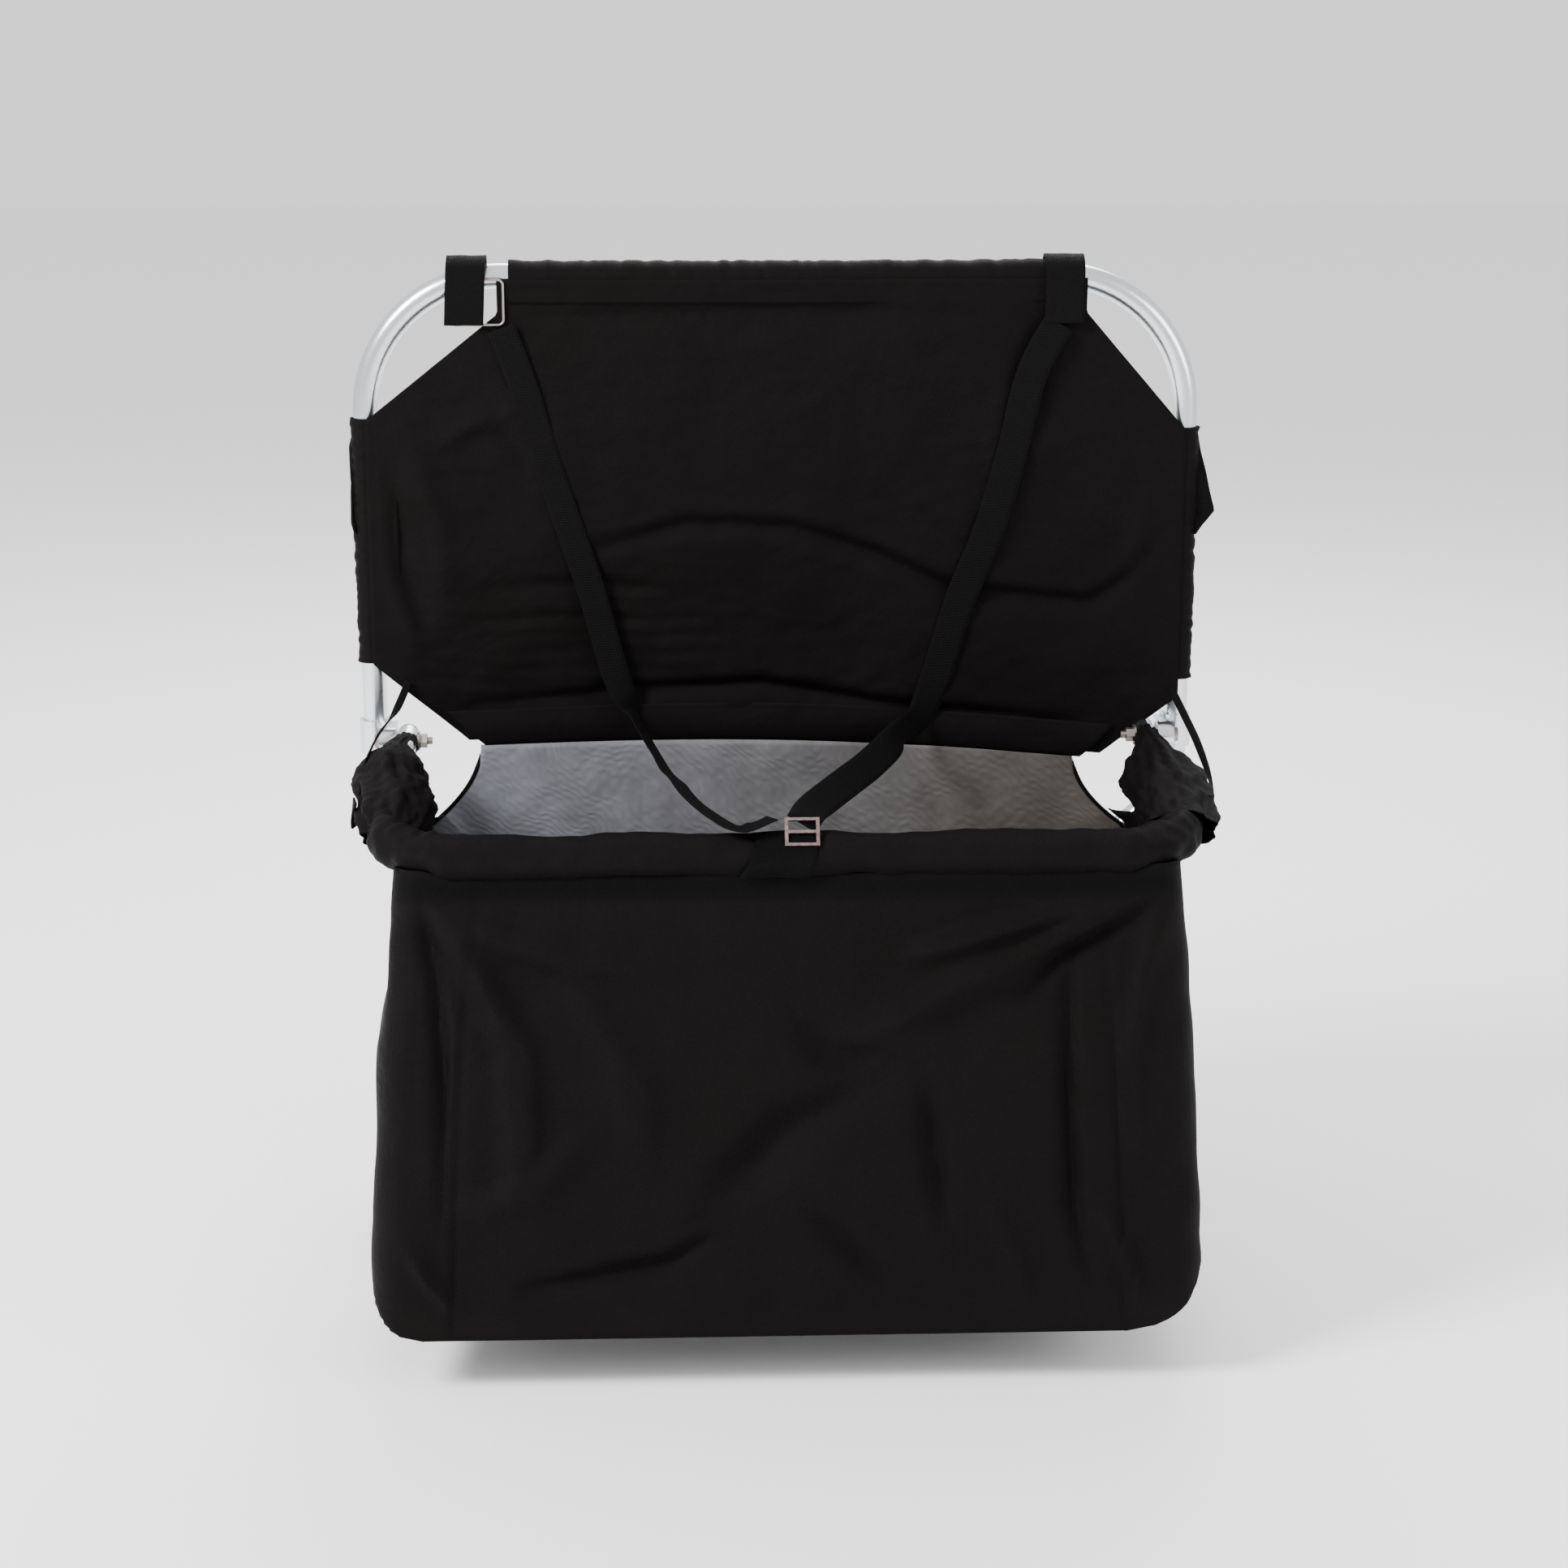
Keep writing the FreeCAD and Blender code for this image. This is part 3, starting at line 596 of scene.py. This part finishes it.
def bag_shell(cloth):
    """Front wall and both gussets in one sheet, turned round two soft upright corners."""
    back_run = BACK_Y - 2.2 - WALL_Y          # depth of the gussets
    corner = 20.0

    def shape(u, v):
        s = u * 2 - 1
        side = -1 if s < 0 else 1
        half_front, turn = 0.56, 0.06         # shares of the sheet in the front wall and in each corner
        low = WALL_LOW - 1
        lean = lerp(BAG_LOW_X, BAG_TOP_X, v) + 2.5 * math.sin(math.pi * v)
        a = abs(s)
        if a < half_front:
            t = a / half_front
            depth = 0.0
            x = t * (lean - corner)
        elif a < half_front + turn:
            t = (a - half_front) / turn * math.pi / 2
            x = lean - corner + corner * math.sin(t)
            depth = corner - corner * math.cos(t)
        else:
            t = (a - half_front - turn) / (1 - turn - half_front)
            x = lean
            depth = lerp(corner, back_run, t)
        rise = depth * math.tan(DROOP)
        top = top_edge(depth) + 5 * ease((x - 245) / 20) * (1 - ease((depth - 8) / 20))
        z = lerp(low + rise, top, v)
        up = z - (low + rise)
        low_corner = 60.0 if side > 0 else 40.0
        r = lerp(low_corner, BACK_CORNER, ease(depth / 60))
        if up < r:
            x = min(x, lean - r + math.sqrt(max(0.0, r ** 2 - (r - up) ** 2)))
        y = WALL_Y + depth
        front = 1 - ease(depth / 30)
        d = sum(fold(side * x, z, run, w * 0.8, h * 1.5, st * 1.7) for run, w, h, st in FRONT_FOLDS)
        d *= front
        d += 7.5 * rumple(side * x, z, 130, 2.4) + 3.4 * rumple(side * x, z, 52, 6.1)
        d += 1.1 * rumple(side * x, z, 22, 4.4)
        seam = (lean - 60 - x) / 2.2          # upright seam where the gusset turns on to the front
        d += -2.2 * math.exp(-seam * seam) + 1.2 * math.exp(-(seam + 2.2) ** 2)
        belly = 5.0 * math.sin(math.pi * min(1, (z - low) / 330)) * (1 - (x / 310) ** 4)
        hold = ease((WALL_TOP - z) / 40) * ease(up / 24)
        turn_in = ease(depth / back_run * 8 - 7)      # the rear edge is sewn to the back wall's cord
        x -= max(0.0, x - back_half(z) - 1.6) * turn_in
        y += 1.4 * turn_in
        y -= min(14.0, max(-11.0, d + belly * 0.5)) * hold * front
        x += (1 - front) * (1 - turn_in) * hold * (0.8 * d + 3 * math.sin(math.pi * ease(depth / back_run)))
        return place(side * x, y, z)

    o = sheet_grid("bag_shell", 220, 84, shape)
    top_z = HINGE_Z + (WALL_TOP - 4) / 1000
    rear_y = PLANE_Y + (WALL_Y + back_run - 6) / 1000
    low_z = HINGE_Z + (WALL_LOW + 9) / 1000

    def sewn(p):
        under = low_z + (p.y - PLANE_Y - WALL_Y / 1000) * math.tan(DROOP)
        return p.z > top_z or p.y > rear_y or p.z < under

    settle(o, sewn, slack=0.016, press=0.6, cap=5.0)
    thicken(o, 1.2)
    dress(o, "bag", cloth, ["bag_front", "bag_gusset_left", "bag_gusset_right"])
    place(0, WALL_Y - 4, -200)
    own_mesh(o)
    return o


def top_edge(depth):
    """Height of the bag's top edge a distance behind the front wall: under the roll, under the
    arm, then cut away towards the back wall."""
    y = WALL_Y + depth
    u = (PIVOT_Y - y) / math.cos(DROOP)
    under_arm = mouth_at(u, UNDER_ARM)[1]
    front = WALL_TOP + 5
    back = -63.0
    if depth < 12:
        return front
    if u > 100:
        return lerp(front, under_arm, ease((depth - 12) / 40))
    return lerp(back, mouth_at(100, UNDER_ARM)[1], ease((u + 8) / 108))


def bag_floor(cloth):
    """Cloth under the base board, rising to the back as the mouth does."""
    def shape(u, v):
        s = u * 2 - 1
        y = lerp(WALL_Y + 4.0, BACK_Y - 3.0, v)
        z = WALL_LOW + 0.9 + (y - WALL_Y) * math.tan(DROOP)
        x = lerp(248, 266, ease(v * 2.5)) * s
        z -= 1.2 * abs(rumple(x, y, 60, 3.3)) * math.sin(math.pi * v)
        return place(x, y, z)

    o = sheet_grid("bag_floor_cloth", 80, 34, shape)
    thicken(o, 1.2)
    return dress(o, "floor", cloth, ["bag_base"])


NOTCH = 60.0                                           # height of the open corner under the panel
BACK_LOW = (back_lo.z - HINGE_Z) * 1000
BACK_CORNER = 39.0                                     # rounded lower corners


def back_half(z):
    """Half width of the bag's back wall at a height: cut in below the panel, then leaning out."""
    down = PANEL_LOW - z
    if down < NOTCH:
        return lerp(235, 277, max(0.0, down / NOTCH) ** 1.9)
    return lerp(277, 302, min(1.0, (down - NOTCH) / 250))


def back_point(s, v):
    """Across and up on the bag's back wall: s from -1 to 1, v from the floor to the hem."""
    z = lerp(BACK_LOW, PANEL_LOW + 4, v)
    x = back_half(z)
    up = z - BACK_LOW
    if up < BACK_CORNER:
        x += math.sqrt(max(0.0, BACK_CORNER ** 2 - (BACK_CORNER - up) ** 2)) - BACK_CORNER
    x *= s
    return x, z + ease(v * 3 - 2) * (7 * math.cos(x / 150) - 1 - x * 0.02)


def back_pipings(web):
    """Corded edge on each side of the back wall."""
    cord = 1.7
    for side, name in ((-1, "left"), (1, "right")):
        def shape(u, v):
            w = lerp(0.004, 0.985, v)
            a, b = Vector(back_point(side, max(0.0, w - 0.01))), Vector(back_point(side, w + 0.01))
            t = (b - a).normalized()
            x, z = back_point(side, w)
            r = cord * min(1.0, 0.02 + 30 * v, 0.02 + 30 * (1 - v))
            c, sn = math.cos(u * 2 * math.pi) * r, math.sin(u * 2 * math.pi) * r
            return place(x + side * (t.y * c + 0.6), BACK_Y + 0.8 + sn, z - side * t.x * c)

        o = sheet_grid("back_piping_cord_" + name, 12, 110, shape, close=True)
        dress(o, "frame", web, ["back_piping_" + name])


def bag_back(cloth, outside):
    """Back wall: lining inside, black cloth on the side that faces the frame."""
    def shape(u, v):
        s = u * 2 - 1
        x, z = back_point(s, v)
        hold = math.sin(math.pi * v) ** 0.4 * (1 - s ** 6)
        y = BACK_Y + 0.8 - hold * (2.0 + 3.0 * rumple(x, z, 90, 4.0) + 1.6 * rumple(x * 2, z, 34, 7.7))
        return place(x, y, z)

    o = sheet_grid("bag_back_cloth", 130, 74, shape)
    thicken(o, 1.1)
    dress(o, "frame", cloth, ["bag_back"])
    o.data.materials.append(outside)
    for p in o.data.polygons:
        p.material_index = 1 if p.normal.y > 0.2 else 0
    return o


# ---- round covers on the mouth hoop
def mouth_run(u0, steps):
    """Points and directions along the mouth hoop, from the left arm round the front to the right."""
    run = []
    arc = BEND * math.pi / 2
    straight = REACH - BEND - u0
    front = 2 * (ARM_X - BEND)
    total = 2 * straight + 2 * arc + front
    for k in range(steps + 1):
        s = total * k / steps
        mirror = s > total / 2
        t = total - s if mirror else s
        if t < straight:
            x, u, ang = -ARM_X, u0 + t, 0.0
        elif t < straight + arc:
            ang = (t - straight) / BEND
            x, u = -ARM_X + BEND - BEND * math.cos(ang), REACH - BEND + BEND * math.sin(ang)
        else:
            x, u, ang = -ARM_X + BEND + (t - straight - arc), REACH, math.pi / 2
        out = Vector((-math.cos(ang), math.sin(ang)))
        if mirror:
            x, out = -x, Vector((-out.x, out.y))
        run.append((x, u, out, s / total))
    return run


def round_cover(name, run, radius_at, cloth, nodes, around=40):
    """A tube of gathered cloth along a run on the mouth hoop."""
    n = len(run) - 1

    def shape(a, v):
        x, u, out, share = run[min(n, int(round(v * n)))]
        ang = a * 2 * math.pi
        r_out, r_up, shift = radius_at(ang, share, x)
        away = math.cos(ang) * r_out + shift
        y, z = mouth_at(u + out.y * away, math.sin(ang) * r_up)
        return place(x + out.x * away, y, z)

    o = sheet_grid(name, around, n, shape, close=True)
    thicken(o, 1.2, offset=-1.0)
    return dress(o, "hoop", cloth, nodes)


def front_roll(cloth):
    """Cloth gathered round the front bar, tighter at its two turned ends."""
    run = mouth_run(REACH - BEND - 6, 230)

    def radius(ang, share, x):
        c, sn = math.cos(ang), math.sin(ang)
        pull = noise.noise(Vector((share * 34, sn * 1.1, c * 1.1)))
        soft = noise.noise(Vector((share * 9, c * 0.6, sn * 0.6 + 4)))
        corner = ease((abs(x) - 225) / 40)
        seam = math.exp(-((ang - 4.1) / 0.22) ** 2) * 1.5
        gather = corner * 5.0 * noise.noise(Vector((share * 90, c * 1.5, sn * 1.5 + 9)))
        end = 1 - 0.14 * ease((abs(x) - 288) / 4)
        r = ROLL - 0.8 + 1.4 * pull + 2.4 * soft + gather * 0.5 - seam
        return r * end, r * end * 0.97, 0.0

    return round_cover("front_roll_cloth", run, radius, cloth, ["front_roll"])


def arm_cover(side, cloth):
    """Loose gathered cover, baggy in the middle and drawn to a point at the pivot."""
    steps = 110
    run = []
    for k in range(steps + 1):
        t = k / steps
        run.append((side * ARM_X, lerp(4.0, REACH - BEND + 14, t), Vector((side, 0)), t))
    fat, spread = (28.0, 0.42) if side < 0 else (31.0, 0.56)

    def radius(ang, share, _):
        open_up = ease(share / spread)
        c, sn = math.cos(ang), math.sin(ang)
        # long tucks that fan out of the drawn-in end, and slack creases across them
        tucks = noise.noise(Vector((share * 2.2, c * 3.4 + side * 2, sn * 3.4)))
        slack = noise.noise(Vector((share * 8.0 + c * 1.6, c * 1.2 + side * 5, sn * 2.2)))
        fine = noise.noise(Vector((share * 17.0 + sn * 3, c * 4.0, sn * 4.0 + side)))
        ridge = 1 - abs(noise.noise(Vector((share * 4.5 - sn * 1.3, c * 2.0 - side, sn * 2.0 + 3)))) * 2
        lumps = 4.2 * tucks + 3.6 * slack + 1.5 * fine + 2.2 * ridge - 1.0
        close = 1 - (0.3 if side < 0 else 0.16) * ease((share - 0.8) / 0.2)
        wide = lerp(10.0, fat, open_up) * close + lumps * lerp(0.5, 1.0, open_up)
        tall = lerp(9.5, 17.0, open_up) * close + lumps * lerp(0.5, 0.75, open_up)
        if side < 0:                                 # the left one is pushed outwards near the pivot
            return wide, tall, lerp(7.0, -3.5, ease((share - 0.35) / 0.4)) * ease(share / 0.14)
        return wide, tall, -open_up

    name = "left" if side < 0 else "right"
    return round_cover("arm_cover_cloth_" + name, run, radius, cloth, ["arm_cover_" + name], around=72)


# ---- straps
def ribbon(name, stations, width, thick, along=60, across=6):
    """Flat webbing through given stations of (centre, direction across the width), in mm."""
    pts = [Vector(c) for c, w in stations]
    dirs = [Vector(w).normalized() for c, w in stations]
    n = len(pts) - 1

    def at(t):
        f = t * n
        i = min(n - 1, int(f))
        k = f - i
        p0, p1, p2, p3 = pts[max(0, i - 1)], pts[i], pts[i + 1], pts[min(n, i + 2)]
        return 0.5 * ((2 * p1) + (p2 - p0) * k + (2 * p0 - 5 * p1 + 4 * p2 - p3) * k * k
                      + (3 * p1 - p0 - 3 * p2 + p3) * k ** 3), dirs[i].lerp(dirs[i + 1], k)

    def shape(u, v):
        c, w = at(v)
        t = (at(min(1.0, v + 0.01))[0] - at(max(0.0, v - 0.01))[0]).normalized()
        w = (w - t * w.dot(t)).normalized()
        p = c + w * ((u * 2 - 1) * width / 2)
        return place(p.x, p.y, p.z)

    o = sheet_grid(name, across, along, shape)
    return thicken(o, thick)


def v_straps(web):
    """The two straps from the top loops to the slider on the roll."""
    y = BACK_Y - 2.4
    top = BAR.z + ROLL
    flat, edge_on, face_on = (1, 0, 0.28), (0.1, 0.97, -0.21), (0.7, -0.2, -0.7)
    left = ribbon("v_strap_left_web", [
        ((-211, y, 322), flat), ((-194, y - 1.0, 275), flat), ((-174, y - 1.6, 206), flat),
        ((-147, y - 1.6, 123), flat), ((-130, y - 1.6, 60), flat), ((-120, y - 7, 34), (0.8, 0.6, 0.15)),
        ((-111, y - 16, 16), (0.16, 0.95, -0.18)), ((-91, y - 80, -2), edge_on),
        ((-79, y - 125, -5), edge_on), ((-67, y - 175, -6), (0.3, 0.9, -0.3)),
        ((-46, BAR.y + 5, top + 5), (0.6, 0.7, -0.3)),
        ((-30, BAR.y - 7, top + 5), (0.5, 0.85, 0.1)), ((-12, BAR.y - 1, top + 10), (0.4, 0.9, 0.1))],
        22.0, 0.9, along=170)
    dress(left, None, web, ["v_strap_left"])
    place(0, y - 12, 0)
    place(0, -150, -10)
    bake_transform(left)
    flat = (1, 0, -0.28)
    right = ribbon("v_strap_right_web", [
        ((216, y, 324), flat), ((196, y - 1.0, 285), flat), ((181, y - 1.6, 222), flat),
        ((165, y - 1.6, 165), flat), ((143, y - 1.6, 108), flat), ((125, y - 1.6, 48), flat),
        ((112, y - 6, 17), (0.8, 0.5, -0.3)), ((98, y - 22, 9), (0.3, 0.7, -0.6)), ((80, y - 67, 4), face_on),
        ((64, y - 108, 2), face_on), ((47, y - 147, 1), face_on),
        ((24, BAR.y + 27, top + 14), (0.8, -0.1, -0.6)), ((15, BAR.y + 5, top + 13), (0.92, 0, -0.32)),
        ((9, BAR.y - 3, top + 6), (0.97, 0, -0.2))], 24.5, 0.9, along=170)
    dress(right, None, web, ["v_strap_right"])
    place(0, y - 12, 0)
    place(0, -150, -10)
    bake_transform(right)


def check_straps(web):
    """Thin tapes that stop the mouth from dropping further."""
    turned, on_edge = (0.3, 0.6, 0.6), (0.1, 0.6, 0.7)
    left = [((-290, BACK_Y - 1, 46), (1, 0, 0)), ((-300, -30, 25), (0.6, 0.4, 0.5)),
            ((-312, -60, 12), turned), ((-319, -110, -3), on_edge), ((-318, -148, -11), on_edge)]
    right = [((312, BACK_Y - 1, 36), (1, 0, 0)), ((319, -38, 20), (0.6, 0.4, 0.5)),
             ((325, -66, 5), turned), ((328, -110, -12), on_edge), ((325, -146, -20), on_edge)]
    for pts, name in ((left, "left"), (right, "right")):
        o = ribbon("check_strap_web_" + name, pts, 6.0, 1.0, along=40, across=3)
        dress(o, None, web, ["check_strap_" + name])
        place(0, -18, 0)
        place(0, -120, -14)
        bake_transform(o)


def web_loops(web):
    """Webbing round the top bar, crossed and stitched at the front."""
    for side, name, lean in ((-1, "left", 0.05), (1, "right", 0.0)):
        x0 = side * 229.0 - 8.5
        r = TUBE + 5.3
        round_share, tail = 0.66, 36.0              # share of the tape round the bar, and its tail's drop

        def shape(u, v):
            s = u * 2 - 1
            if v < round_share:
                a = lerp(-2.4, math.pi / 2, v / round_share)
                y, z = -r * math.sin(a), r * math.cos(a)
            else:
                y, z = -r, -lerp(0, tail, (v - round_share) / (1 - round_share))
            x = x0 + s * 15 + lean * z
            z += 0.5 * rumple(x, z, 12, side * 3.0)
            return place(x, y - 0.4 * s * s, TOP_Z + z)

        o = sheet_grid("web_loop_cloth_" + name, 10, 60, shape)
        thicken(o, 1.7)
        dress(o, "frame", web, ["web_loop_" + name])


def anchor_patch(web):
    """Two layers of webbing sewn round the roll under the slider."""
    def shape(u, v):
        s = u * 2 - 1
        a = lerp(0.35, 2.2, v)
        r = ROLL + 1.2 + 0.8 * rumple(s * 40, v * 30, 9, 1.0) + 0.8 * abs(s) * v
        x = -4 + s * lerp(21, 25, v) - 5 * v + 3 * math.sin(v * 4)
        y = BAR.y - r * math.sin(a)
        z = BAR.z + r * math.cos(a)
        return place(x, y, z)

    o = sheet_grid("anchor_patch", 26, 44, shape)
    thicken(o, 1.6)
    return dress(o, "hoop", web, ["anchor_tab"])


def side_tabs(web):
    """Folded strap ends that stand out from the side sleeves."""
    for side, name, out, hi, lo in ((-1, "left", 2.5, 238, 163), (1, "right", 15.0, 236, 158)):
        def shape(u, v):
            z = lerp(lo, hi, v)
            peak = min(1.0, v * 9, (1 - v) * 9) if side < 0 else min(v / 0.24, (1 - v) / 0.76)
            x = SIDE_X + 8 + u * (2.0 + out * peak)
            y = -4 + 9 * u * (v - 0.5) + 1.2 * rumple(z, u * 30, 14, side)
            return place(side * x, y, z)

        o = sheet_grid("side_tab_cloth_" + name, 8, 30, shape)
        thicken(o, 2.2)
        dress(o, "frame", web, ["side_tab_" + name])


def check_ends(web):
    """Folded ends of the check straps, sewn to the outside of the arm covers."""
    for side, name in ((-1, "left"), (1, "right")):
        def shape(u, v):
            s = u * 2 - 1
            y, z = mouth_at(140 + s * 11, lerp(-12, 8, v) + 2 * s)
            x = ARM_X + 27 + 2.2 * math.sin(v * 3 + s)
            return place(side * x, y, z)

        o = sheet_grid("check_end_" + name, 8, 12, shape)
        thicken(o, 1.8)
        dress(o, "hoop", web, ["check_anchor_" + name])


# ---------------------------------------------------------------- finishes on the frame's own pieces
def finish_nodes():
    """Finishes for the pieces of the frame that stay as they are."""
    tube, steel, tyre = bright_tube(), zinc_steel(), rubber()
    plastic, rim = moulded("black moulded plastic", 0.012), moulded("dark grey plastic", 0.03)
    board = hardboard()
    rules = ((("frame_hoop", "base_loop", "mouth_hoop", "cross_rail", "pivot_clamp"), tube),
             (("axle_cap", "axle_spacer", "arm_plug", "bush"), plastic),
             (("slider",), aged_metal()), (("axle", "pivot", "strap_ring"), steel),
             (("rim",), rim), (("tyre", "foot"), tyre), (("base_board",), board))
    for name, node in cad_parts.items():
        for starts, finish in rules:
            if name.startswith(starts):
                node.data.materials.clear()
                node.data.materials.append(finish)
                break


# ---------------------------------------------------------------- floor and light
def stage_set():
    bpy.ops.object.select_all(action="DESELECT")
    bpy.ops.mesh.primitive_plane_add(size=24, location=(0, 0, 0))
    floor = bpy.context.object
    floor.name = "studio_floor"
    f = Finish("pale floor", Roughness=0.9)
    f.set("Base Color", (0.96, 0.96, 0.96, 1))
    floor.data.materials.append(f.mat)
    world = bpy.data.worlds.new("studio")
    bpy.context.scene.world = world
    world.use_nodes = True
    world.node_tree.nodes["Background"].inputs[0].default_value = (1, 1, 1, 1)
    world.node_tree.nodes["Background"].inputs[1].default_value = 1.25
    for name, spot, size, power in (("key", (-2.3, -1.5, 2.7), 1.0, 230), ("fill", (2.4, -1.6, 1.5), 1.4, 40),
                                    ("rim", (0.3, 2.0, 2.4), 1.8, 80)):
        data = bpy.data.lights.new(name, "AREA")
        data.size, data.energy = size, power
        lamp = bpy.data.objects.new(name, data)
        lamp.location = spot
        lamp.rotation_euler = (Vector(spot) - Vector((0, 0, 0.45))).to_track_quat("Z", "Y").to_euler()
        bpy.context.scene.collection.objects.link(lamp)


set_camera()
cloth, lining, web = black_cloth(), lining_cloth(), webbing()
panel = back_panel(cloth)
sleeves = panel_sleeves(cloth)
hem = lower_hem(cloth)
sleeves + [hem]
bag_back(lining, cloth)
bag_shell(cloth)
bag_floor(cloth)
front_roll(cloth)
arm_cover(-1, cloth)
arm_cover(1, cloth)
v_straps(web)
check_straps(web)
web_loops(web)
back_pipings(web)
anchor_patch(webbing("dense black webbing", 0.35))
side_tabs(web)
check_ends(web)
finish_nodes()
stage_set()
